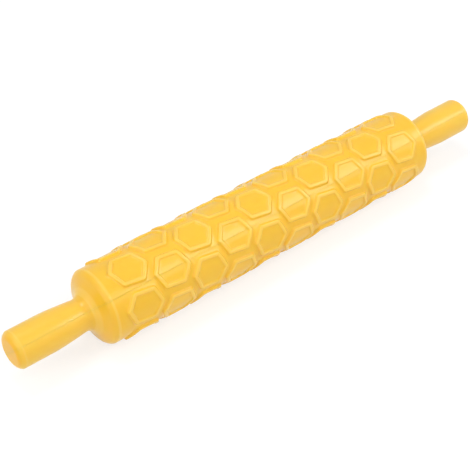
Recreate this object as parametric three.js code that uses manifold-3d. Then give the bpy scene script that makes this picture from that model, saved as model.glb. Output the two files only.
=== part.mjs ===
// Embossed rolling pin, in millimetres.
// +X runs along the pin, +Z is up, and the origin is the middle of the axis.
// The pin is a hollow moulding in two half shells. They meet on a lengthways parting plane that runs
// through the middle of one row of cells, along both grips and across both end faces.
import * as THREE from 'three';
import { mergeGeometries, mergeVertices } from 'three/addons/utils/BufferGeometryUtils.js';
import Module from 'manifold-3d';

const wasm = await Module();
wasm.setup();

// Barrel
const barrelLength = 226;
const skinRadius = 20.7;
const creaseRadius = 0.7; // the skin breaks in a soft crease into the domed end
const creaseBend = THREE.MathUtils.degToRad(24);
const domeRadius = 7; // rounding from the crease to the end wall

// Grips, moulded in one with the end walls
const gripLength = 46.5;
const gripRadius = 10;
const gripStraightLength = 21; // from the end face to the start of the taper
const neckRadius = 8.7;
const neckFillet = 2.6;
const gripEdgeRadius = 3.8;

// Honeycomb relief: each cell is a thin raised rib round a panel that stands a little proud of the skin
const ribHeight = 1.3;
const ribCrestWidth = 1.3;
const ribFootWidth = 2.9;
const panelRise = 0.5;
const cellHeight = 16.1; // across the two long ribs, middle to middle, measured round the crest
const cellWidth = 19.8; // from tip to tip along the pin
const cellLongRib = 11.2;
const cellTwist = THREE.MathUtils.degToRad(-8.25);
const columnPitch = 20.55;
const plainBand = 9; // least smooth band at each end of the barrel
const rowCount = 12;

// Shell walls and the ring webs that stiffen the barrel
const wall = 2.6;
const webThickness = 2;
const webBoreRadius = 8;
const columnsPerWeb = 2;

// Parting seam: tongue and groove round the whole rim, pegs and sockets in bosses on the webs
const partingTilt = THREE.MathUtils.degToRad(-45);
const tongueWidth = 0.9;
const tongueHeight = 0.9;
const tongueRoot = 0.6; // how deep the tongue is rooted in its own rim
const bossRadius = 3.2;
const bossReach = 12.8; // from the axis to the middle of a boss
const pegRadius = 1.6;
const pegLength = 4;
const pegTipTaper = 0.4;
const matingClearance = 0.15;
const partingGap = 0.3; // between the two rims
const cutOverrun = 3;

// Facet counts
const drumSides = 36;
const cavitySides = 20;
const bossSides = 10;
const outerArcSteps = 4;
const creaseSteps = 2;
const innerArcSteps = 3;
const edgeSteps = 2;

// Sizes that follow from those above
const crestRadius = skinRadius + ribHeight;
const panelRadius = skinRadius + panelRise;
const pinHalfLength = barrelLength / 2 + gripLength;
const rowAngle = 2 * Math.PI / rowCount;
const patternLength = barrelLength - 2 * plainBand - cellWidth;
const columnCount = Math.floor(patternLength / columnPitch) + 1;

// A closed three.js mesh as a solid that can be joined and cut
function solid(geometry) {
  const bare = geometry.clone();
  bare.deleteAttribute('normal');
  bare.deleteAttribute('uv');
  const merged = mergeVertices(bare);
  const corners = merged.index.array;
  const faces = [];
  for (let i = 0; i < corners.length; i += 3) {
    const [a, b, c] = corners.slice(i, i + 3);
    if (a !== b && b !== c && c !== a) faces.push(a, b, c);
  }
  const vertProperties = Float32Array.from(merged.attributes.position.array);
  const triVerts = Uint32Array.from(faces);
  return new wasm.Manifold(new wasm.Mesh({ numProp: 3, vertProperties, triVerts }));
}

// A joined or cut solid as a three.js mesh of its own
function piece(name, shape, material) {
  const { vertProperties, triVerts } = shape.getMesh();
  const geometry = new THREE.BufferGeometry();
  geometry.setAttribute('position', new THREE.BufferAttribute(vertProperties, 3));
  geometry.setIndex(new THREE.BufferAttribute(triVerts, 1));
  geometry.computeVertexNormals();
  const mesh = new THREE.Mesh(geometry, material);
  mesh.name = name;
  return mesh;
}

// Revolves a list of [distance along X, radius] about the X axis
function revolve(profile, sides) {
  const points = profile.map(([along, radius]) => new THREE.Vector2(radius, along));
  return solid(new THREE.LatheGeometry(points, sides).rotateZ(-Math.PI / 2));
}

// Quarter round about a centre, from one direction to the other, as [along, radius] points
function quarter(along, radius, size, from, to, steps) {
  if (size <= 0) return [[along, radius]];
  return Array.from({ length: steps + 1 }, (_, i) => {
    const turn = THREE.MathUtils.lerp(from, to, i / steps);
    return [along + size * Math.cos(turn), radius + size * Math.sin(turn)];
  });
}

// Outer profile of the +X half of the pin, offset inwards, from the barrel's skin to the end face.
// Only the outside has the crease; the offsets round straight off from the skin.
function halfProfile(inset) {
  const steps = inset > 0 ? innerArcSteps : outerArcSteps;
  const upward = Math.PI / 2;
  const domeStart = inset > 0 ? upward : upward - creaseBend;
  const barrelEnd = barrelLength / 2 - inset;
  const pinEnd = pinHalfLength - inset;
  const skin = skinRadius - inset;
  const neck = neckRadius - inset;
  const grip = gripRadius - inset;
  const dome = Math.max(domeRadius - inset, 0);
  const domeAlong = barrelEnd - dome;
  const domeMiddle = skin - creaseRadius + (creaseRadius - dome) * Math.sin(domeStart);
  const creaseAlong = domeAlong + (dome - creaseRadius) * Math.cos(domeStart);
  const crease = quarter(creaseAlong, skin - creaseRadius, creaseRadius, upward, domeStart, creaseSteps);
  const fillet = Math.min(neckFillet + inset, domeMiddle - neck); // no higher than the end wall
  const edge = Math.max(gripEdgeRadius - inset, 0);
  const taperStart = pinHalfLength - gripStraightLength;
  return [
    ...(inset > 0 ? [] : crease.slice(0, -1)),
    ...quarter(domeAlong, domeMiddle, dome, domeStart, 0, steps),
    ...quarter(barrelEnd + fillet, neck + fillet, fillet, Math.PI, Math.PI + upward, steps),
    [taperStart, grip],
    ...quarter(pinEnd - edge, grip - edge, edge, upward, 0, edgeSteps),
  ];
}

// The whole profile from the -X end face to the +X one, without the points on the axis
function wholeProfile(inset) {
  const half = halfProfile(inset);
  const mirrored = half.map(([along, radius]) => [-along, radius]).reverse();
  return [...mirrored, ...half];
}

function pinBody(inset, sides) {
  const end = pinHalfLength - inset;
  return revolve([[-end, 0], ...wholeProfile(inset), [end, 0]], sides);
}

function drum(radius) {
  const end = barrelLength / 2;
  return revolve([[-end, 0], [-end, radius], [end, radius], [end, 0]], drumSides);
}

// Corners of one cell on the unrolled crest, pushed out by grow, from the +X tip round to the last one
function cellCorners(grow) {
  const rise = cellHeight / 2;
  const run = (cellWidth - cellLongRib) / 2;
  const slant = Math.hypot(rise, run);
  const across = rise / slant;
  const up = run / slant;
  const reach = cellWidth / 2 * across + grow;
  const height = rise + grow;
  const tip = reach / across;
  const shoulder = (reach - height * up) / across;
  const corners = [[tip, 0], [shoulder, height], [-shoulder, height]];
  const turned = [...corners, ...corners.map(([x, y]) => [-x, -y])];
  return turned.map(([x, y]) => new THREE.Vector2(x, y).rotateAround(new THREE.Vector2(), cellTwist));
}

// One cell as a six-sided block with flat walls. Each wall holds its edge of the crest outline and leans
// along the pin's radius there, tipped outwards on its way down by the draft.
function cellBlock(along, angle, grow, draft) {
  const rim = cellCorners(grow).map(({ x, y }) => {
    const turn = y / crestRadius;
    return new THREE.Vector3(x, crestRadius * Math.sin(turn), crestRadius * Math.cos(turn));
  });
  const walls = rim.map((corner, i) => {
    const run = rim[(i + 1) % 6].clone().sub(corner);
    const upright = rim[(i + 1) % 6].clone().add(corner).setX(0).normalize();
    const outward = run.clone().cross(upright).normalize();
    return run.cross(upright.addScaledVector(outward, -draft));
  });
  const edges = rim.map((_, i) => walls[(i + 5) % 6].clone().cross(walls[i]));
  const levels = { top: crestRadius + cutOverrun, bottom: skinRadius - cutOverrun };
  const block = new THREE.CylinderGeometry(1, 1, 1, 6, 1, false, Math.PI / 2).rotateX(Math.PI / 2);
  const { position } = block.attributes;
  for (let i = 0; i < position.count; i++) {
    const spot = new THREE.Vector2(position.getX(i), position.getY(i));
    const level = position.getZ(i) > 0 ? levels.top : levels.bottom;
    const place = new THREE.Vector3(0, 0, level);
    if (Math.round(spot.length()) === 1) {
      const index = Math.round(spot.angle() / (Math.PI / 3)) % 6;
      place.copy(rim[index]).addScaledVector(edges[index], (level - rim[index].z) / edges[index].z);
    }
    position.setXYZ(i, place.x, place.y, place.z);
  }
  return block.rotateX(Math.PI / 2 - angle).translate(along, 0, 0);
}

// All cells of the honeycomb as one set of blocks. Alternate rows sit half a step along.
function cellBlocks(grow, draft) {
  const blocks = [];
  for (let column = 0; column < columnCount; column++) {
    for (let row = 0; row < rowCount; row++) {
      if ((row + column) % 2 === 0) continue;
      const along = (column - (columnCount - 1) / 2) * columnPitch;
      blocks.push(cellBlock(along, row * rowAngle, grow, draft));
    }
  }
  return solid(mergeGeometries(blocks));
}

// The moulded outside: smooth pin, raised cells trimmed to the crest, then each cell's panel sunk
function embossedBody() {
  const draft = (ribFootWidth - ribCrestWidth) / 2 / ribHeight;
  const raised = cellBlocks(ribCrestWidth / 2, draft).intersect(drum(crestRadius));
  const sunk = cellBlocks(-ribCrestWidth / 2, -draft).subtract(drum(panelRadius));
  return pinBody(0, drumSides).add(raised).subtract(sunk);
}

// Middle of each web along the pin, always between two columns of cells
function webPlaces() {
  const step = columnPitch * columnsPerWeb;
  const each = Math.floor((barrelLength / 2 - wall - webThickness) / step);
  return Array.from({ length: 2 * each + 1 }, (_, i) => (i - each) * step);
}

function web(along) {
  const outer = skinRadius - wall / 2;
  const near = along - webThickness / 2;
  const far = along + webThickness / 2;
  const ring = [[near, webBoreRadius], [near, outer], [far, outer], [far, webBoreRadius]];
  return revolve([...ring, ring[0]], cavitySides);
}

// A round rod square to the parting plane, between two heights
function rod(radius, tipRadius, along, reach, low, high) {
  const shape = new THREE.CylinderGeometry(tipRadius, radius, high - low, bossSides);
  return solid(shape.rotateX(Math.PI / 2).translate(along, reach, (low + high) / 2));
}

// Places of the pegs: both sides of every second web
function pegPlaces() {
  return webPlaces().filter((_, i) => i % 2 === 0).flatMap((along) => [[along, -bossReach], [along, bossReach]]);
}

function framework() {
  const bosses = pegPlaces().map(([x, y]) => rod(bossRadius, bossRadius, x, y, -skinRadius, skinRadius));
  const parts = [...webPlaces().map(web), ...bosses];
  return parts.reduce((all, part) => all.add(part)).intersect(pinBody(wall / 2, cavitySides));
}

// A flat plate in the parting plane with the pin's own outline, offset inwards
function outlinePlate(inset, low, high) {
  const side = wholeProfile(inset).map(([along, radius]) => new THREE.Vector2(along, radius));
  const other = side.map(({ x, y }) => new THREE.Vector2(x, -y)).reverse();
  const shape = new THREE.Shape([...side, ...other]);
  const plate = new THREE.ExtrudeGeometry(shape, { depth: high - low, bevelEnabled: false });
  return solid(plate.translate(0, 0, low));
}

// The band that runs round the middle of the rim
function rimBand(width, low, high) {
  const outer = outlinePlate((wall - width) / 2, low, high);
  return outer.subtract(outlinePlate((wall + width) / 2, low - cutOverrun, high + cutOverrun));
}

// Everything on one side of the parting plane, less that side's share of the gap
function halfSpace(side) {
  const height = crestRadius + cutOverrun;
  const box = new THREE.BoxGeometry(2 * (pinHalfLength + cutOverrun), 2 * height, height);
  return solid(box.translate(0, 0, side * (height + partingGap) / 2));
}

function buildShells() {
  const hollow = embossedBody().subtract(pinBody(wall, cavitySides)).add(framework());
  const tongue = rimBand(tongueWidth, -tongueRoot, tongueHeight);
  const groove = rimBand(tongueWidth + 2 * matingClearance, -cutOverrun, tongueHeight + matingClearance);
  const pegTip = pegRadius - pegTipTaper;
  const socketRadius = pegRadius + matingClearance;
  const socketDepth = pegLength + matingClearance;

  let lower = hollow.intersect(halfSpace(-1)).add(tongue);
  let upper = hollow.intersect(halfSpace(1)).subtract(groove);
  for (const [x, y] of pegPlaces()) {
    lower = lower.add(rod(pegRadius, pegTip, x, y, -pegLength, pegLength));
    upper = upper.subtract(rod(socketRadius, socketRadius, x, y, -cutOverrun, socketDepth));
  }
  return { lower, upper };
}

const { lower, upper } = buildShells();
const yellow = { color: 0xf7c24e, roughness: 0.42, metalness: 0 };

const shells = new THREE.Group();
shells.rotation.x = partingTilt;
shells.add(piece('shell_lower_front', lower, new THREE.MeshStandardMaterial(yellow)));
shells.add(piece('shell_upper_back', upper, new THREE.MeshStandardMaterial(yellow)));

const rollingPin = new THREE.Group();
rollingPin.name = 'embossed_rolling_pin';
rollingPin.add(shells);

export default rollingPin;
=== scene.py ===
import logging
import math
from dataclasses import dataclass, field
from enum import Enum

import bpy
import numpy as np
from mathutils import Matrix, Vector
from mathutils.geometry import delaunay_2d_cdt


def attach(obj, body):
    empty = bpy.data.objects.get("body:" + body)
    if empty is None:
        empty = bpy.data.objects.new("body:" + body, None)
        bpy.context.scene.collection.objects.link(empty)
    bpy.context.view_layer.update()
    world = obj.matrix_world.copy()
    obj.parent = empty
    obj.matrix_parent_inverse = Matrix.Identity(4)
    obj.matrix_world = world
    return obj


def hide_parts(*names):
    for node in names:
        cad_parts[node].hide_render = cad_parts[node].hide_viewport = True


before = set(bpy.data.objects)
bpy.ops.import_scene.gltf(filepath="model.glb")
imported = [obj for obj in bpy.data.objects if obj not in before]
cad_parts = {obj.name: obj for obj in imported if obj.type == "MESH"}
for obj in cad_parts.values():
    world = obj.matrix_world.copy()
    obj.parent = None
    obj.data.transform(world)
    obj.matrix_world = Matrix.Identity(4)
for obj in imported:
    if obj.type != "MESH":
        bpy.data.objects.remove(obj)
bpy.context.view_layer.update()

log = logging.getLogger("rolling_pin")

MILLIMETRE = 0.001
PARTING_TILT = math.radians(-45)
SAME_ROW = 1e-3
WELD_DISTANCE = 1e-5
WHITE = (1.0, 1.0, 1.0, 1.0)
# Places along the pin, in metres, of the thin lines of painted highlight: shoulder crease, root,
# root hollow and grip-end crease.
EDGE_PLACES = {
    "Shoulder place": 0.109,
    "Root place": 0.1146,
    "Root hollow place": 0.1156,
    "Grip end place": 0.1562,
}
# Ranges of the painted light: the crests' painted highlight by relief level, the width of the
# highlight lines, the painted sheen along the grips and the painted shade on the end faces.
EDGE_RANGES = {
    "Crest start": 0.7,
    "Crest full": 0.97,
    "Line end": 0.0011,
    "Line full": 0.0003,
    "Grip start": 0.1145,
    "Grip full": 0.1195,
    "Grip share": 0.5,
    "Rim end": 0.159,
    "Rim full": 0.157,
    "Face start": 0.1582,
    "Face full": 0.1593,
}

Pair = tuple[float, float]
Colour = tuple[float, float, float, float]


class Half(Enum):
    """The two half shells, with each one's CAD node and the angle where it starts."""

    UPPER_BACK = ("upper_back_half", "shell_upper_back", 0.0)
    LOWER_FRONT = ("lower_front_half", "shell_lower_front", -math.pi)

    def __init__(self, piece: str, node: str, start: float) -> None:
        """Keeps the piece's name, its CAD node and its first angle round the pin."""
        self.piece = piece
        self.node = node
        self.start = start


class RayKind(Enum):
    """Ray kinds that see the white background rather than the light that it gives."""

    CAMERA = "Is Camera Ray"
    GLOSSY = "Is Glossy Ray"
    TRANSMISSION = "Is Transmission Ray"


@dataclass(frozen=True)
class PinOutline:
    """Outline of the pin in millimetres: barrel, domed shoulders, swept roots and tapered grips."""

    barrel_length: float = 226.0
    skin_radius: float = 20.7
    straight_end: float = 109.0
    edge_radius: float = 0.7
    edge_bend: float = 24.0
    dome_radius: float = 5.0
    grip_length: float = 46.5
    grip_radius: float = 10.3
    grip_straight: float = 21.0
    neck_radius: float = 8.8
    wall_lean: float = 18.0
    foot_lean: float = 32.0
    foot_radius: float = 11.4
    grip_crease: float = 0.6
    grip_dome: float = 4.6
    least_edge: float = 0.4
    taper_ease: float = 1.35
    edge_steps: int = 5
    dome_steps: int = 9
    wall_steps: int = 7
    foot_steps: int = 14
    taper_steps: int = 14
    straight_steps: int = 5
    crease_steps: int = 4
    cap_steps: int = 10
    face_shares: tuple[float, ...] = (0.97, 0.85, 0.7, 0.5, 0.3, 0.12)

    @staticmethod
    def _arc(centre: Pair, size: float, start: float, end: float, steps: int) -> list[Pair]:
        """Points of an arc about a centre.

        Args:
            centre: The arc's centre as (along, radius).
            size: The arc's own radius.
            start: First angle in degrees, 0 being along the pin and 90 outwards.
            end: Last angle in degrees.
            steps: Number of steps.

        Returns:
            The points as (along, radius) pairs.
        """
        turns = np.radians(np.linspace(start, end, steps + 1))
        return [(centre[0] + size * math.cos(a), centre[1] + size * math.sin(a)) for a in turns]

    def _hollow(
        self, start: Pair, end: float, lean: float, end_lean: float, steps: int
    ) -> list[Pair]:
        """Points of a hollow arc that turns an end wall towards the grip.

        Args:
            start: The point where it starts, as (along, radius), which isn't repeated.
            end: The radius about the axis where it ends.
            lean: How far the wall leans outwards at the start, in degrees.
            end_lean: How far it leans at the end, 90 being along the pin.
            steps: Number of steps.

        Returns:
            The points as (along, radius) pairs.
        """
        first, last = math.radians(lean), math.radians(end_lean)
        size = (start[1] - end) / (math.sin(last) - math.sin(first))
        centre = (start[0] + size * math.cos(first), start[1] + size * math.sin(first))
        return self._arc(centre, size, 180 + lean, 180 + end_lean, steps)[1:]

    def stations(self, inset: float = 0.0) -> np.ndarray:
        """Outline of the +X end, from the straight barrel's end to the last ring before the axis.

        Args:
            inset: How far inside the outer surface the outline runs.

        Returns:
            An array of (along, radius) rows. Its length doesn't depend on the inset.
        """
        pin_end = self.barrel_length / 2 + self.grip_length - inset
        radii = (self.skin_radius, self.neck_radius, self.grip_radius)
        skin, neck, grip = (radius - inset for radius in radii)
        bend = math.radians(self.edge_bend)
        edges = (self.edge_radius, self.dome_radius, self.grip_crease, self.grip_dome)
        shoulder, dome, crease, cap = (max(size - inset, self.least_edge) for size in edges)
        taper_end = self.barrel_length / 2 + self.grip_length - self.grip_straight
        centre = self.straight_end - (self.dome_radius - self.edge_radius) * math.sin(bend)
        start = centre + (dome - shoulder) * math.sin(bend)
        middle = skin - shoulder - (dome - shoulder) * math.cos(bend)
        foot = self.foot_radius - inset * math.sin(math.radians(self.foot_lean))
        turn = 90 - self.edge_bend
        points = self._arc((start, skin - shoulder), shoulder, 90, turn, self.edge_steps)
        points += self._arc((centre, middle), dome, turn, self.wall_lean, self.dome_steps)[1:]
        points += self._hollow(points[-1], foot, self.wall_lean, self.foot_lean, self.wall_steps)
        points += self._hollow(points[-1], neck, self.foot_lean, 90, self.foot_steps)
        root = points[-1][0]
        for share in np.linspace(0, 1, self.taper_steps + 1)[1:]:
            swell = 1 - (1 - share) ** self.taper_ease
            points.append((root + share * (taper_end - root), neck + swell * (grip - neck)))
        start = pin_end - cap + (cap - crease) * math.sin(bend)
        middle = grip - crease - (cap - crease) * math.cos(bend)
        straight = np.linspace(taper_end, start, self.straight_steps + 1)[1:-1]
        points += [(along, grip) for along in straight]
        points += self._arc((start, grip - crease), crease, 90, turn, self.crease_steps)
        points += self._arc((pin_end - cap, middle), cap, turn, 0, self.cap_steps)[1:]
        points += [(pin_end, middle * share) for share in self.face_shares]
        return np.array(points)


@dataclass(frozen=True)
class Honeycomb:
    """The raised relief on the unrolled crest: x along the pin, y round it, both in millimetres."""

    crest_radius: float = 22.0
    rib_height: float = 1.3
    panel_rise: float = 0.5
    cell_height: float = 16.1
    cell_width: float = 19.8
    long_rib: float = 11.2
    twist: float = math.radians(-8.25)
    pitch: float = 20.55
    columns: int = 10
    rows: int = 12
    corner_round: float = 0.8
    crest_power: float = 3.5
    outer_steep: float = 1.2
    outer_foot: float = 1.85
    inner_steep: float = 1.2
    inner_foot: float = 1.8
    rings_inside: int = 7
    rings_outside: int = 8
    edge_steps: int = 9
    corner_steps: int = 4

    @property
    def row_step(self) -> float:
        """Distance round the crest from one row to the next."""
        return 2 * math.pi * self.crest_radius / self.rows

    def corners(self, inset: float) -> np.ndarray:
        """Corners of one cell before its twist, drawn in by an inset.

        Args:
            inset: Distance from the rib's middle line to the drawn-in outline.

        Returns:
            Six (x, y) rows, counter-clockwise from the +X tip.
        """
        rise, run = self.cell_height / 2, (self.cell_width - self.long_rib) / 2
        slant = math.hypot(rise, run)
        across, up = rise / slant, run / slant
        reach, height = self.cell_width / 2 * across - inset, rise - inset
        tip, shoulder = reach / across, (reach - height * up) / across
        half = np.array([[tip, 0.0], [shoulder, height], [-shoulder, height]])
        return np.concatenate([half, -half])

    def ring(self, offset: float) -> np.ndarray:
        """Closed line at a distance outside a cell's rib middle, with round corners.

        Args:
            offset: Distance outside the middle line, negative on the panel's side.

        Returns:
            The ring's (x, y) rows, with the twist, about the cell's middle.
        """
        size = self.corner_round + offset
        base = self.corners(self.corner_round if size > 0 else -offset)
        points = []
        for i in range(6):
            here, after = base[i], base[(i + 1) % 6]
            along = (after - here) / np.linalg.norm(after - here)
            out = np.array([along[1], -along[0]])
            if size > 0:
                before = base[i - 1]
                came = (here - before) / np.linalg.norm(here - before)
                first = math.atan2(-came[0], came[1])
                turn = (math.atan2(out[1], out[0]) - first) % (2 * math.pi)
                for k in range(self.corner_steps):
                    a = first + turn * k / self.corner_steps
                    points.append(here + size * np.array([math.cos(a), math.sin(a)]))
            shift = out * max(size, 0.0)
            for k in range(self.edge_steps):
                points.append(here + shift + (after - here) * k / self.edge_steps)
        return self.turned(np.array(points), self.twist)

    @staticmethod
    def turned(points: np.ndarray, angle: float) -> np.ndarray:
        """Points turned about the origin by an angle in radians."""
        c, s = math.cos(angle), math.sin(angle)
        return points @ np.array([[c, s], [-s, c]])

    def offsets(self) -> list[float]:
        """Distances of the rings from the rib's middle, from the panel's foot to the skin's."""
        inside = np.linspace(-self.inner_foot, 0, self.rings_inside + 1)
        outside = np.linspace(0, self.outer_foot, self.rings_outside + 1)
        return [*inside, *outside[1:]]

    def centres(self) -> list[Pair]:
        """Middles of all cells, with y from minus to plus half the way round."""
        places = []
        for column in range(self.columns):
            along = (column - (self.columns - 1) / 2) * self.pitch
            for row in range(-self.rows // 2, self.rows // 2 + 1):
                if (row + column) % 2:
                    places.append((along, row * self.row_step))
        return places

    def distance(self, points: np.ndarray) -> np.ndarray:
        """Signed distance from the nearest cell's rib middle, positive outside the cell.

        Args:
            points: An array of (x, y) rows on the unrolled crest.

        Returns:
            One distance for each point.
        """
        base = self.corners(self.corner_round)
        after = np.roll(base, -1, 0)
        along = after - base
        length = np.linalg.norm(along, axis=1)
        out = np.stack([along[:, 1], -along[:, 0]], 1) / length[:, None]
        nearest = np.full(len(points), np.inf)
        for cx, cy in self.centres():
            close = np.flatnonzero((abs(points - (cx, cy)) < self.pitch).all(1))
            if not len(close):
                continue
            local = self.turned(points[close] - (cx, cy), -self.twist)
            from_corner = local[:, None] - base[None]
            planes = (from_corner * out).sum(2).max(1)
            share = np.clip((from_corner * along).sum(2) / length ** 2, 0, 1)
            gap = np.linalg.norm(from_corner - share[..., None] * along, axis=2).min(1)
            found = np.where(planes <= 0, planes, gap) - self.corner_round
            nearest[close] = np.minimum(nearest[close], found)
        return nearest

    def fall(self, gap: np.ndarray, steep: float, foot: float) -> np.ndarray:
        """Share of the rib's drop that is done at a distance from the rib's middle.

        Args:
            gap: Distances from the middle line.
            steep: Distance where the crest's flank is steepest and the hollow foot starts.
            foot: Distance where the foot ends.

        Returns:
            The shares, 0 on the crest and 1 beyond the foot.
        """
        turn = 2 * steep / (self.crest_power * (foot - steep) + 2 * steep)
        crest = turn * (np.clip(gap, 0, steep) / steep) ** self.crest_power
        rest = (foot - np.clip(gap, steep, foot)) / (foot - steep)
        return np.where(gap < steep, crest, 1 - (1 - turn) * rest ** 2)

    def height(self, points: np.ndarray) -> np.ndarray:
        """Height of the relief above the plain skin.

        Args:
            points: An array of (x, y) rows on the unrolled crest.

        Returns:
            One height for each point, in millimetres.
        """
        gap = self.distance(points)
        outer = self.rib_height * (1 - self.fall(gap, self.outer_steep, self.outer_foot))
        drop = self.rib_height - self.panel_rise
        inner = self.rib_height - drop * self.fall(-gap, self.inner_steep, self.inner_foot)
        return np.where(gap > 0, outer, inner)


@dataclass(frozen=True)
class PartingSeam:
    """The fine line where the two halves meet: a shallow groove with faintly raised flanks."""

    half_gap: float = 0.01
    depth: float = 0.05
    flank: float = 0.14
    flank_depth: float = -0.02
    edge: float = 0.3

    def drop(self, index: int, count: int) -> float:
        """Depth of the groove in one row of points.

        Args:
            index: The row, from 0 at one rim.
            count: Number of rows from rim to rim.

        Returns:
            The depth in millimetres.
        """
        return {0: self.depth, 1: self.flank_depth}.get(min(index, count - 1 - index), 0.0)


@dataclass
class MeshParts:
    """Points and faces that are collected for one mesh."""

    points: list[tuple[float, float, float]] = field(default_factory=list)
    faces: list[tuple[int, ...]] = field(default_factory=list)

    def add_points(self, points: np.ndarray) -> list[int]:
        """Adds points and returns their numbers."""
        first = len(self.points)
        self.points.extend(map(tuple, points))
        return list(range(first, len(self.points)))

    def add_face(self, *corners: int) -> None:
        """Adds a face, less any corner that repeats the one before it."""
        kept = [c for i, c in enumerate(corners) if c != corners[i - 1]]
        if len(kept) > 2:
            self.faces.append(tuple(kept))

    def add_grid(self, rows: list[list[int]]) -> None:
        """Adds quads between rows of equally many points."""
        for low, high in zip(rows, rows[1:]):
            for i in range(len(low) - 1):
                self.add_face(low[i], low[i + 1], high[i + 1], high[i])

    def add_zip(
        self, low: list[int], low_marks: np.ndarray, high: list[int], high_marks: np.ndarray
    ) -> None:
        """Adds triangles between two lines whose points don't pair up.

        Args:
            low: Point numbers of one line.
            low_marks: A rising mark for each of its points.
            high: Point numbers of the other line.
            high_marks: A rising mark for each of those.
        """
        i = j = 0
        while i < len(low) - 1 or j < len(high) - 1:
            more = i < len(low) - 1
            if j == len(high) - 1 or (more and low_marks[i + 1] <= high_marks[j + 1]):
                self.add_face(low[i], low[i + 1], high[j])
                i += 1
            else:
                self.add_face(low[i], high[j + 1], high[j])
                j += 1


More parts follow.
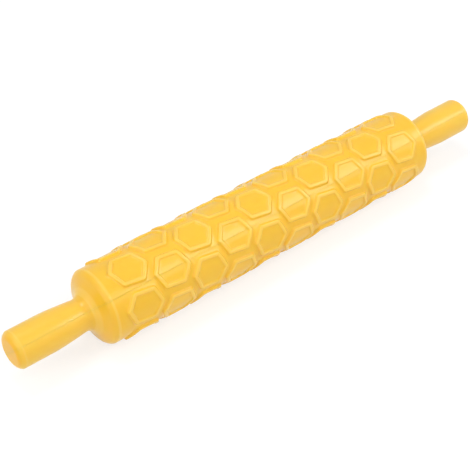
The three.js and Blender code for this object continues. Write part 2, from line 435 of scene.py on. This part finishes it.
@dataclass
class HalfShell:
    """One moulded half of the pin: relief, shoulders, grip halves, rim and inner face."""

    half: Half
    outline: PinOutline = field(default_factory=PinOutline)
    relief: Honeycomb = field(default_factory=Honeycomb)
    seam: PartingSeam = field(default_factory=PartingSeam)
    wall: float = 2.6
    steps_round: int = 72
    inner_steps: int = 24
    fill_spacing: float = 1.5
    fill_clearance: float = 0.8
    fill_start: float = 0.4
    inner_spacing: float = 6.0
    rim_density: float = 1.5
    cell_reach: float = 12.0
    clip_margin: float = 1.0
    least_reach: float = 0.05
    widest_flank: float = 0.5
    widest_edge: float = 0.9
    sharp_angle: float = 50.0

    def angles(self, radius: float) -> np.ndarray:
        """Angles of the rows from rim to rim, the seam's rows at a steady distance from the rims.

        Args:
            radius: Radius of the ring that the rows cross.

        Returns:
            The angles in radians.
        """
        scale = self.outline.skin_radius / self.relief.crest_radius
        flank = math.asin(min(self.seam.flank * scale / radius, self.widest_flank))
        edge = math.asin(min(self.seam.edge * scale / radius, self.widest_edge))
        middle = np.linspace(edge, math.pi - edge, self.steps_round + 1)
        return self.half.start + np.array([0, flank, *middle, math.pi - flank, math.pi])

    @staticmethod
    def place(along: np.ndarray, angle: np.ndarray, radius: np.ndarray) -> np.ndarray:
        """Places points by their distance along the pin, angle and radius, before the tilt."""
        return np.stack([along, -radius * np.cos(angle), radius * np.sin(angle)], 1)

    def unrolled(self) -> tuple[np.ndarray, np.ndarray]:
        """Divides the straight barrel's half, unrolled, into triangles that follow every rib.

        Returns:
            The (x, y) rows of the points, and the triangles as rows of three point numbers.
        """
        radius, end = self.relief.crest_radius, self.outline.straight_end
        marks = self.angles(self.outline.skin_radius) * radius
        low, high = marks[0], marks[-1]
        points: list[np.ndarray] = []
        edges: list[tuple[int, int]] = []

        def add_line(line: np.ndarray, closed: bool) -> None:
            """Adds a line of points with the edges between them."""
            first = sum(map(len, points))
            points.append(line)
            edges.extend((first + i, first + i + 1) for i in range(len(line) - 1))
            if closed:
                edges.append((first + len(line) - 1, first))

        for side in (-end, end):
            add_line(np.stack([np.full(len(marks), side), marks], 1), False)
        steps = round(2 * end / self.fill_spacing * self.rim_density)
        for mark in (*marks[:3], *marks[-3:]):
            line = np.linspace(-end, end, steps + 1)
            add_line(np.stack([line, np.full(len(line), mark)], 1), False)
        rings = [self.relief.ring(offset) for offset in self.relief.offsets()]
        for cx, cy in self.relief.centres():
            if not low - self.cell_reach < cy < high + self.cell_reach:
                continue
            for ring in rings:
                line = ring + (cx, cy)
                above = line[:, 1] > low - self.clip_margin
                inside = above & (line[:, 1] < high + self.clip_margin)
                if inside.all():
                    add_line(line, True)
                elif inside.any():
                    start = int(np.flatnonzero(~inside)[-1])
                    line, inside = np.roll(line, -start, 0), np.roll(inside, -start)
                    first = int(np.argmax(inside))
                    add_line(line[first:][inside[first:]], False)
        points.append(self.fill_points(end, low, high))
        raw = np.concatenate(points)
        made = delaunay_2d_cdt([Vector(p) for p in raw], edges, [], 0, WELD_DISTANCE, False)
        flat = np.array([tuple(v) for v in made[0]])
        faces = np.array([f for f in made[2] if len(f) == 3])
        middle = flat[faces].mean(1)
        kept = (abs(middle[:, 0]) < end) & (middle[:, 1] > low) & (middle[:, 1] < high)
        used, numbers = np.unique(faces[kept], return_inverse=True)
        return flat[used], numbers.reshape(-1, 3)

    def fill_points(self, end: float, low: float, high: float) -> np.ndarray:
        """Spaced points on the panels and on the skin between the cells.

        Args:
            end: Half the straight barrel's length.
            low: First value of y.
            high: Last value of y.

        Returns:
            The (x, y) rows of the points, clear of ribs, rims and ends.
        """
        step, clear = self.fill_spacing, self.fill_clearance
        rows = np.arange(low + clear + self.fill_start, high - clear, step * math.sqrt(3) / 2)
        line = np.arange(-end + clear, end - clear, step)
        grid = [
            np.stack([line + (i % 2) * step / 2, np.full(len(line), y)], 1)
            for i, y in enumerate(rows)
        ]
        flat = np.concatenate(grid)
        flat = flat[abs(flat[:, 0]) < end - clear]
        gap = self.relief.distance(flat)
        free = (gap > self.relief.outer_foot + clear) | (gap < -self.relief.inner_foot - clear)
        return flat[free]

    def outer_lines(
        self, parts: MeshParts
    ) -> tuple[list[int], list[int], np.ndarray, np.ndarray]:
        """Builds the outer surface.

        Args:
            parts: The mesh that the points and faces go to.

        Returns:
            The point numbers along both rims from the -X end to the +X end, and the places along
            the pin of those on the straight barrel.
        """
        flat, faces = self.unrolled()
        radius = self.relief.crest_radius
        marks = self.angles(self.outline.skin_radius) * radius
        row = np.abs(flat[:, 1:2] - marks).argmin(1)
        on_row = np.abs(flat[:, 1] - marks[row]) < SAME_ROW
        drops = np.array([self.seam.drop(i, len(marks)) for i in range(len(marks))])
        drop = np.where(on_row, drops[row], 0.0)
        reach = self.outline.skin_radius + self.relief.height(flat) - drop
        numbers = parts.add_points(self.place(flat[:, 0], flat[:, 1] / radius, reach))
        for a, b, c in faces:
            parts.add_face(numbers[a], numbers[b], numbers[c])
        rims, places = [], []
        for mark in (marks[0], marks[-1]):
            on = np.flatnonzero(abs(flat[:, 1] - mark) < SAME_ROW)
            on = on[np.argsort(flat[on, 0])]
            rims.append([numbers[i] for i in on])
            places.append(flat[on, 0])
        for side in (-1, 1):
            first = []
            for mark in marks:
                beside = flat[:, 0] - side * self.outline.straight_end
                first.append(numbers[int(np.hypot(beside, flat[:, 1] - mark).argmin())])
            rows = self.outer_end(parts, side, first)
            for rim, edge in zip(rims, (0, -1)):
                ends = [r[edge] for r in rows[1:]]
                rim[:] = rim + ends if side > 0 else ends[::-1] + rim
        return rims[0], rims[1], places[0], places[1]

    def outer_end(self, parts: MeshParts, side: int, first: list[int]) -> list[list[int]]:
        """Builds a shoulder, end wall and grip half.

        Args:
            parts: The mesh that the points and faces go to.
            side: -1 or 1, for the end along X.
            first: Point numbers where the straight barrel ends, from rim to rim.

        Returns:
            The rows of point numbers from the barrel to the axis. The last row repeats one point.
        """
        stations = self.outline.stations()
        tangents = np.gradient(stations, axis=0)
        normals = np.stack([-tangents[:, 1], tangents[:, 0]], 1)
        normals /= np.linalg.norm(normals, axis=1)[:, None]
        rows = [first]
        for (along, radius), normal in zip(stations[1:], normals[1:]):
            angles = self.angles(radius)
            drops = np.array([self.seam.drop(i, len(angles)) for i in range(len(angles))])
            across = np.minimum(along - drops * normal[0], stations[-1, 0])
            reach = np.maximum(radius - drops * normal[1], self.least_reach)
            rows.append(parts.add_points(self.place(side * across, angles, reach)))
        tip = stations[-1, 0] - self.seam.depth / 2
        pole = parts.add_points(np.array([[side * tip, 0.0, 0.0]]))[0]
        rows.append([pole] * len(first))
        parts.add_grid(rows)
        return rows

    def inner_lines(
        self, parts: MeshParts, first: np.ndarray, last: np.ndarray
    ) -> tuple[list[int], list[int]]:
        """Builds the inner face of the wall.

        Args:
            parts: The mesh that the points and faces go to.
            first: Places along the straight barrel of the first rim's points.
            last: The same for the last rim.

        Returns:
            The point numbers along both rims from the -X end to the +X end.
        """
        stations = self.outline.stations(self.wall)
        end, radius = stations[0]
        share = end / self.outline.straight_end
        tip = stations[-1, 0]
        poles = parts.add_points(np.array([[-tip, 0.0, 0.0], [tip, 0.0, 0.0]]))
        coarse = np.linspace(-end, end, round(2 * end / self.inner_spacing) + 1)
        turns = np.linspace(self.half.start, self.half.start + math.pi, self.inner_steps + 1)
        rows, marks = [], []
        for i, turn in enumerate(turns):
            middle = {0: first * share, self.inner_steps: last * share}.get(i, coarse)
            along = np.concatenate([-stations[:0:-1, 0], middle, stations[1:, 0]])
            level = np.full(len(middle), radius)
            reach = np.concatenate([stations[:0:-1, 1], level, stations[1:, 1]])
            line = parts.add_points(self.place(along, np.full(len(along), turn), reach))
            rows.append([poles[0], *line, poles[1]])
            beyond = np.arange(1, len(stations) + 1)
            marks.append(np.concatenate([-end - beyond[::-1], middle, end + beyond]))
        parts.add_zip(rows[0], marks[0], rows[1], marks[1])
        parts.add_grid(rows[1:-1])
        parts.add_zip(rows[-2], marks[-2], rows[-1], marks[-1])
        return rows[0], rows[-1]

    def build(self) -> bpy.types.Object:
        """Makes the half as one closed mesh in its place.

        Returns:
            The new object.
        """
        parts = MeshParts()
        first_rim, last_rim, first_places, last_places = self.outer_lines(parts)
        first_inner, last_inner = self.inner_lines(parts, first_places, last_places)
        parts.add_grid([first_rim, first_inner])
        parts.add_grid([last_inner, last_rim])
        points = np.array(parts.points)
        rims = list({*first_rim, *last_rim, *first_inner, *last_inner})
        upper = self.half is Half.UPPER_BACK
        points[rims, 2] += self.seam.half_gap if upper else -self.seam.half_gap
        mesh = bpy.data.meshes.new(self.half.piece)
        mesh.from_pydata((points * MILLIMETRE).tolist(), [], parts.faces)
        mesh.transform(Matrix.Rotation(PARTING_TILT, 4, "X"))
        mesh.validate()
        mesh.shade_smooth()
        mesh.set_sharp_from_angle(angle=math.radians(self.sharp_angle))
        piece = bpy.data.objects.new(self.half.piece, mesh)
        bpy.context.scene.collection.objects.link(piece)
        return piece


class NodeGroup:
    """A shader node group in the making, with short ways to add and join its nodes."""

    def __init__(self, name: str) -> None:
        """Starts an empty group with its input and output nodes."""
        self.tree = bpy.data.node_groups.new(name, "ShaderNodeTree")
        self.inside = self.tree.nodes.new("NodeGroupInput")
        self.outside = self.tree.nodes.new("NodeGroupOutput")

    def take(self, name: str, kind: str = "NodeSocketFloat", value: float | None = None) -> None:
        """Adds an input to the group.

        Args:
            name: The input's name.
            kind: The input's type.
            value: The value that it starts with, if any.
        """
        made = self.tree.interface.new_socket(name=name, in_out="INPUT", socket_type=kind)
        if value is not None:
            made.default_value = value

    def taken(self, name: str) -> bpy.types.NodeSocket:
        """Gives one of the group's inputs to feed a node with."""
        return self.inside.outputs[name]

    def give(
        self, name: str, source: bpy.types.NodeSocket, kind: str = "NodeSocketFloat"
    ) -> None:
        """Adds an output to the group and feeds it.

        Args:
            name: The output's name.
            source: The socket that feeds it.
            kind: The output's type.
        """
        self.tree.interface.new_socket(name=name, in_out="OUTPUT", socket_type=kind)
        self.feed(self.outside.inputs[name], source)

    def feed(self, port: bpy.types.NodeSocket, value: object) -> None:
        """Sets an input to a value, or joins it to a socket."""
        if isinstance(value, bpy.types.NodeSocket):
            self.tree.links.new(value, port)
        else:
            port.default_value = value

    def node(self, kind: str, **settings: object) -> bpy.types.Node:
        """Adds a node and sets its properties."""
        made = self.tree.nodes.new(kind)
        for key, value in settings.items():
            setattr(made, key, value)
        return made

    def math(self, operation: str, first: object, second: object = 0.0) -> bpy.types.NodeSocket:
        """Adds a math node.

        Args:
            operation: The node's operation.
            first: Its first number or the socket that feeds it.
            second: Its second number or socket.

        Returns:
            The node's output.
        """
        made = self.node("ShaderNodeMath", operation=operation)
        for port, value in zip(made.inputs, (first, second)):
            self.feed(port, value)
        return made.outputs[0]

    def ramp(
        self, value: bpy.types.NodeSocket, low: object, high: object, smooth: bool = False
    ) -> bpy.types.NodeSocket:
        """Adds a ramp that is 0 up to one value and 1 from another.

        Args:
            value: The socket that the ramp follows.
            low: The number or socket where it is 0.
            high: The number or socket where it is 1, which may be the smaller one.
            smooth: Whether it starts and ends softly.

        Returns:
            The ramp's output.
        """
        style = "SMOOTHSTEP" if smooth else "LINEAR"
        made = self.node("ShaderNodeMapRange", clamp=True, interpolation_type=style)
        for name, fed in (("Value", value), ("From Min", low), ("From Max", high)):
            self.feed(made.inputs[name], fed)
        return made.outputs["Result"]

    def noise(self, scale: str, detail: float, roughness: float) -> bpy.types.NodeSocket:
        """Adds a noise over the group's place.

        Args:
            scale: Name of the group's input that holds its scale.
            detail: Number of finer layers.
            roughness: Strength of the finer layers.

        Returns:
            The noise's output.
        """
        made = self.node("ShaderNodeTexNoise")
        fed = (
            ("Vector", self.taken("Place")),
            ("Scale", self.taken(scale)),
            ("Detail", detail),
            ("Roughness", roughness),
        )
        for name, value in fed:
            self.feed(made.inputs[name], value)
        return made.outputs[0]


def mixed(
    tree: bpy.types.ShaderNodeTree, share: bpy.types.NodeSocket, first: object, second: object
) -> bpy.types.NodeSocket:
    """Mixes two colours, each given as a colour or as the socket that feeds it.

    Args:
        tree: The tree that the node goes in.
        share: The socket with the second colour's share.
        first: The first colour.
        second: The second colour.

    Returns:
        The mixed colour's socket.
    """
    mix = tree.nodes.new("ShaderNodeMix")
    mix.data_type = "RGBA"
    tree.links.new(share, mix.inputs["Factor"])
    for name, colour in (("A", first), ("B", second)):
        if isinstance(colour, bpy.types.NodeSocket):
            tree.links.new(colour, mix.inputs[name])
        else:
            mix.inputs[name].default_value = colour
    return mix.outputs["Result"]


def moulded_grain() -> bpy.types.ShaderNodeTree:
    """Fine unevenness of a moulded surface.

    Returns:
        A group that turns a place on the pin into a height in metres.
    """
    group = NodeGroup("moulded_grain")
    group.take("Place", "NodeSocketVector")
    group.take("Grain per metre", value=1400.0)
    group.take("Ripple per metre", value=110.0)
    group.take("Grain height", value=0.000006)
    group.take("Ripple height", value=0.00003)
    heights = []
    for name in ("Grain", "Ripple"):
        noise = group.noise(f"{name} per metre", detail=2.0, roughness=0.45)
        centred = group.math("SUBTRACT", noise, 0.5)
        heights.append(group.math("MULTIPLY", centred, group.taken(f"{name} height")))
    group.give("Height", group.math("ADD", *heights))
    return group.tree


def relief_level() -> bpy.types.ShaderNodeTree:
    """How high a point lies between two radii about the pin's axis.

    Returns:
        A group that gives 0 at the low radius and 1 at the high one.
    """
    group = NodeGroup("relief_level")
    group.take("Place", "NodeSocketVector")
    group.take("Low radius", value=0.0207)
    group.take("High radius", value=0.022)
    across = group.node("ShaderNodeVectorMath", operation="MULTIPLY")
    group.feed(across.inputs[0], group.taken("Place"))
    group.feed(across.inputs[1], (0.0, 1.0, 1.0))
    length = group.node("ShaderNodeVectorMath", operation="LENGTH")
    group.feed(length.inputs[0], across.outputs["Vector"])
    low, high = group.taken("Low radius"), group.taken("High radius")
    group.give("Level", group.ramp(length.outputs["Value"], low, high))
    return group.tree


def tone_drift() -> bpy.types.ShaderNodeTree:
    """Slow drift of the plastic's tone, with its pigment a little denser here and there.

    Returns:
        A group that mixes two colours by soft cloudy patches.
    """
    group = NodeGroup("tone_drift")
    group.take("Place", "NodeSocketVector")
    group.take("Patches per metre", value=22.0)
    group.take("Patch start", value=0.35)
    group.take("Patch full", value=0.65)
    group.take("Plain tone", "NodeSocketColor")
    group.take("Dense tone", "NodeSocketColor")
    noise = group.noise("Patches per metre", detail=3.0, roughness=0.5)
    share = group.ramp(noise, group.taken("Patch start"), group.taken("Patch full"))
    tone = mixed(group.tree, share, group.taken("Plain tone"), group.taken("Dense tone"))
    group.give("Tone", tone, "NodeSocketColor")
    return group.tree


def pale_edges() -> bpy.types.ShaderNodeTree:
    """Where highlights and shade are painted into the plastic's colour: highlights on crests, edge
    lines and grips, and shade on the end faces.

    Returns:
        A group that turns a place on the pin and its relief level into two shares from 0 to 1.
    """
    group = NodeGroup("pale_edges")
    group.take("Place", "NodeSocketVector")
    group.take("Level")
    for name, value in (EDGE_PLACES | EDGE_RANGES).items():
        group.take(name, value=value)
    parts = group.node("ShaderNodeSeparateXYZ")
    group.feed(parts.inputs[0], group.taken("Place"))
    along = group.math("ABSOLUTE", parts.outputs["X"])

    def between(
        value: bpy.types.NodeSocket, low: str, high: str, smooth: bool = False
    ) -> bpy.types.NodeSocket:
        """Adds a ramp between two of the group's inputs."""
        return group.ramp(value, group.taken(low), group.taken(high), smooth)

    # Painted highlight on the rib crests, rising with the relief level.
    highlight = between(group.taken("Level"), "Crest start", "Crest full", smooth=True)
    # Thin lines of painted highlight round the shoulders, roots and grip ends.
    for name in EDGE_PLACES:
        away = group.math("ABSOLUTE", group.math("SUBTRACT", along, group.taken(name)))
        line = between(away, "Line end", "Line full", smooth=True)
        highlight = group.math("MAXIMUM", highlight, line)
    # Painted sheen at half strength along the grips, ending before the end face's rim.
    grip = between(along, "Grip start", "Grip full")
    before_rim = between(along, "Rim end", "Rim full")
    grip_sheen = group.math("MULTIPLY", grip, before_rim)
    grip_sheen = group.math("MULTIPLY", grip_sheen, group.taken("Grip share"))
    group.give("Painted highlight", group.math("MAXIMUM", highlight, grip_sheen))
    # Painted shade on the end faces, where the floor's reflection would leave them pale.
    group.give("Face", between(along, "Face start", "Face full"))
    return group.tree


@dataclass(frozen=True)
class YellowPlastic:
    """Satin moulded plastic in a warm yellow."""

    plain_tone: Colour = (0.94, 0.56, 0.043, 1.0)
    dense_tone: Colour = (0.92, 0.54, 0.036, 1.0)
    # Painted highlight: the tone mixed in on crests, edge lines and, at half strength, the grips.
    painted_highlight_tone: Colour = (0.95, 0.595, 0.086, 1.0)
    # Painted shade: a deeper orange for the end faces, against the paleness that the floor's
    # reflection gives them.
    shaded_face_tone: Colour = (0.98, 0.51, 0.012, 1.0)
    rib_roughness: float = 0.26
    skin_roughness: float = 0.28
    gloss: float = 0.37
    refraction: float = 1.5
    glow_through: float = 0.5
    glow_depth: tuple[float, float, float] = (1.0, 0.7, 0.3)
    glow_scale: float = 0.0015

    def make(self) -> bpy.types.Material:
        """Builds the material.

        Returns:
            The new material.
        """
        material = bpy.data.materials.new("satin_yellow_plastic")
        material.use_nodes = True
        tree = material.node_tree
        shader = tree.nodes["Principled BSDF"]
        shader.inputs["IOR"].default_value = self.refraction
        shader.inputs["Specular IOR Level"].default_value = self.gloss
        shader.inputs["Subsurface Weight"].default_value = self.glow_through
        shader.inputs["Subsurface Radius"].default_value = self.glow_depth
        shader.inputs["Subsurface Scale"].default_value = self.glow_scale
        place = tree.nodes.new("ShaderNodeTexCoord").outputs["Object"]
        effects = {}
        for build in (moulded_grain, relief_level, tone_drift, pale_edges):
            effect = tree.nodes.new("ShaderNodeGroup")
            effect.node_tree = build()
            tree.links.new(place, effect.inputs["Place"])
            effects[build.__name__] = effect
        effects["tone_drift"].inputs["Plain tone"].default_value = self.plain_tone
        effects["tone_drift"].inputs["Dense tone"].default_value = self.dense_tone
        level, edges = effects["relief_level"].outputs["Level"], effects["pale_edges"]
        tree.links.new(level, edges.inputs["Level"])
        tone = effects["tone_drift"].outputs["Tone"]
        # Painted highlight on crests, edge lines and grips, then painted shade on the end faces.
        tone = mixed(tree, edges.outputs["Painted highlight"], tone, self.painted_highlight_tone)
        tone = mixed(tree, edges.outputs["Face"], tone, self.shaded_face_tone)
        tree.links.new(tone, shader.inputs["Base Color"])
        gloss = tree.nodes.new("ShaderNodeMapRange")
        gloss.inputs["To Min"].default_value = self.skin_roughness
        gloss.inputs["To Max"].default_value = self.rib_roughness
        tree.links.new(level, gloss.inputs["Value"])
        tree.links.new(gloss.outputs["Result"], shader.inputs["Roughness"])
        bump = tree.nodes.new("ShaderNodeBump")
        bump.inputs["Distance"].default_value = 1.0
        tree.links.new(effects["moulded_grain"].outputs["Height"], bump.inputs["Height"])
        tree.links.new(bump.outputs["Normal"], shader.inputs["Normal"])
        return material


@dataclass(frozen=True)
class Softbox:
    """One soft lamp that faces the pin."""

    name: str
    azimuth: float
    elevation: float
    distance: float
    width: float
    height: float
    power: float

    def light(self) -> None:
        """Puts the lamp in the scene."""
        lamp = bpy.data.lights.new(self.name, "AREA")
        lamp.shape = "RECTANGLE"
        lamp.size, lamp.size_y, lamp.energy = self.width, self.height, self.power
        holder = bpy.data.objects.new(self.name, lamp)
        bpy.context.scene.collection.objects.link(holder)
        a, e = math.radians(self.azimuth), math.radians(self.elevation)
        back = Vector((math.sin(a) * math.cos(e), -math.cos(a) * math.cos(e), math.sin(e)))
        holder.location = back * self.distance
        holder.rotation_euler = back.to_track_quat("Z", "Y").to_euler()


@dataclass(frozen=True)
class Studio:
    """Pale floor, white surroundings and soft lamps."""

    floor_size: float = 8.0
    floor_level: float = -0.022
    floor_glow: float = 0.7
    floor_roughness: float = 0.9
    floor_tone: Colour = (0.8, 0.8, 0.8, 1.0)
    seen_tone: Colour = (0.36, 0.36, 0.36, 1.0)
    ambient: float = 0.34
    lamps: tuple[Softbox, ...] = (
        Softbox("softbox_right", 52.0, 38.0, 1.6, 0.65, 0.65, 7.0),
        Softbox("softbox_near", 32.0, 38.0, 1.6, 0.45, 0.45, 2.4),
        Softbox("softbox_above", -165.0, 76.0, 1.6, 0.5, 0.5, 6.8),
        Softbox("softbox_left", -85.0, 36.0, 1.6, 1.8, 1.8, 11.8),
        Softbox("softbox_low", -50.0, 20.0, 1.6, 1.8, 1.8, 1.0),
        Softbox("softbox_front", -20.0, 42.0, 1.6, 1.0, 1.0, 2.8),
    )

    @staticmethod
    def seen(tree: bpy.types.ShaderNodeTree) -> bpy.types.NodeSocket:
        """Adds nodes that give 1 for the rays that see the background and 0 for the others."""
        path = tree.nodes.new("ShaderNodeLightPath")
        total = path.outputs[RayKind.CAMERA.value]
        for kind in (RayKind.GLOSSY, RayKind.TRANSMISSION):
            more = tree.nodes.new("ShaderNodeMath")
            more.operation = "MAXIMUM"
            tree.links.new(total, more.inputs[0])
            tree.links.new(path.outputs[kind.value], more.inputs[1])
            total = more.outputs[0]
        return total

    def surroundings(self) -> None:
        """White world: full white where it is seen, and softer as a light."""
        world = bpy.data.worlds.new("white_surroundings")
        world.use_nodes = True
        bpy.context.scene.world = world
        tree = world.node_tree
        backdrop = tree.nodes["Background"]
        backdrop.inputs["Color"].default_value = WHITE
        strength = tree.nodes.new("ShaderNodeMapRange")
        strength.inputs["To Min"].default_value = self.ambient
        strength.inputs["To Max"].default_value = 1.0
        tree.links.new(self.seen(tree), strength.inputs["Value"])
        tree.links.new(strength.outputs["Result"], backdrop.inputs["Strength"])

    def floor(self) -> bpy.types.Object:
        """Lays the floor that the pin rests on.

        Returns:
            The floor's object.
        """
        half = self.floor_size / 2
        mesh = bpy.data.meshes.new("pale_floor")
        corners = [(-half, -half, 0.0), (half, -half, 0.0), (half, half, 0.0), (-half, half, 0.0)]
        mesh.from_pydata(corners, [], [(0, 1, 2, 3)])
        floor = bpy.data.objects.new("pale_floor", mesh)
        floor.location.z = self.floor_level
        bpy.context.scene.collection.objects.link(floor)
        material = bpy.data.materials.new("pale_floor")
        material.use_nodes = True
        tree = material.node_tree
        shader = tree.nodes["Principled BSDF"]
        seen = self.seen(tree)
        tone = mixed(tree, seen, self.floor_tone, self.seen_tone)
        tree.links.new(tone, shader.inputs["Base Color"])
        shader.inputs["Roughness"].default_value = self.floor_roughness
        shader.inputs["Specular IOR Level"].default_value = 0.0
        shader.inputs["Emission Color"].default_value = WHITE
        glow = tree.nodes.new("ShaderNodeMath")
        glow.operation = "MULTIPLY"
        glow.inputs[1].default_value = self.floor_glow
        tree.links.new(seen, glow.inputs[0])
        tree.links.new(glow.outputs[0], shader.inputs["Emission Strength"])
        mesh.materials.append(material)
        return floor

    def build(self) -> None:
        """Sets up world, floor and lamps."""
        self.surroundings()
        self.floor()
        for lamp in self.lamps:
            lamp.light()


@dataclass(frozen=True)
class PhotoCamera:
    """Camera at the photograph's viewpoint."""

    location: tuple[float, float, float] = (-0.34398, -0.37961, 0.42212)
    right: tuple[float, float, float] = (0.765788, -0.642968, 0.012701)
    up: tuple[float, float, float] = (0.408210, 0.501258, 0.762959)
    back: tuple[float, float, float] = (-0.496924, -0.579080, 0.646323)
    lens: float = 93.228
    sensor: float = 36.0
    nearest: float = 0.05

    def build(self) -> None:
        """Makes the camera and uses it."""
        camera = bpy.data.objects.new("photo_camera", bpy.data.cameras.new("photo_camera"))
        camera.data.lens, camera.data.sensor_width = self.lens, self.sensor
        camera.data.clip_start = self.nearest
        turn = Matrix((self.right, self.up, self.back)).transposed()
        camera.matrix_world = Matrix.LocRotScale(Vector(self.location), turn, None)
        bpy.context.scene.collection.objects.link(camera)
        bpy.context.scene.camera = camera


def main() -> None:
    """Builds the pin's two halves, the studio and the camera."""
    logging.basicConfig(level=logging.INFO, format="%(name)s: %(message)s")
    plastic = YellowPlastic().make()
    for half in Half:
        piece = HalfShell(half).build()
        piece.data.materials.append(plastic)
        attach(piece, "root")
        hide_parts(half.node)
        counts = len(piece.data.vertices), len(piece.data.polygons)
        log.info("%s: %d points, %d faces", piece.name, *counts)
    Studio().build()
    PhotoCamera().build()
    bpy.context.scene.view_settings.view_transform = "Standard"


if __name__ == "__main__":
    main()
